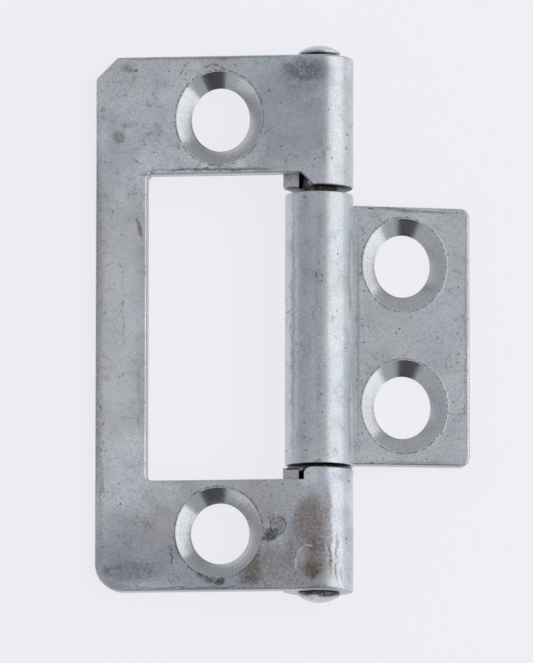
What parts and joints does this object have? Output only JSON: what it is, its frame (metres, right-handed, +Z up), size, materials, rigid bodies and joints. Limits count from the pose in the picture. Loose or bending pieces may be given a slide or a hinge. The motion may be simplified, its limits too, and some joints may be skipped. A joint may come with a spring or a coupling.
{
  "type": "flush hinge",
  "caption": "Flush hinge of pressed steel sheet: a windowed outer leaf and a nesting flap with countersunk screw holes, rolled knuckles and a riveted pin.",
  "frame": {"origin": "under the middle of the overall box, on the surface that the open hinge lies on", "axes": "+Y along the pin, towards the end with the chamfered corner; +X from the outer leaf towards the flap; +Z up, out of the countersinks"},
  "size_m": [0.035, 0.0522, 0.0063],
  "materials": {
    "plated_steel": "dull zinc plate, stained and lightly worn",
    "pin_steel": "bright plated rod with peened domes"
  },
  "bodies": {
    "outer": {"outer_leaf": "plated_steel", "pin": "pin_steel"},
    "inner": {"inner_leaf": "plated_steel"}
  },
  "joints": [
    {"name": "flap_turn", "type": "hinge", "parent": "outer", "child": "inner", "pos_m": [0.00313, -0.00016, 0.00317], "axis": [0, -1, 0], "continuous": true}
  ]
}
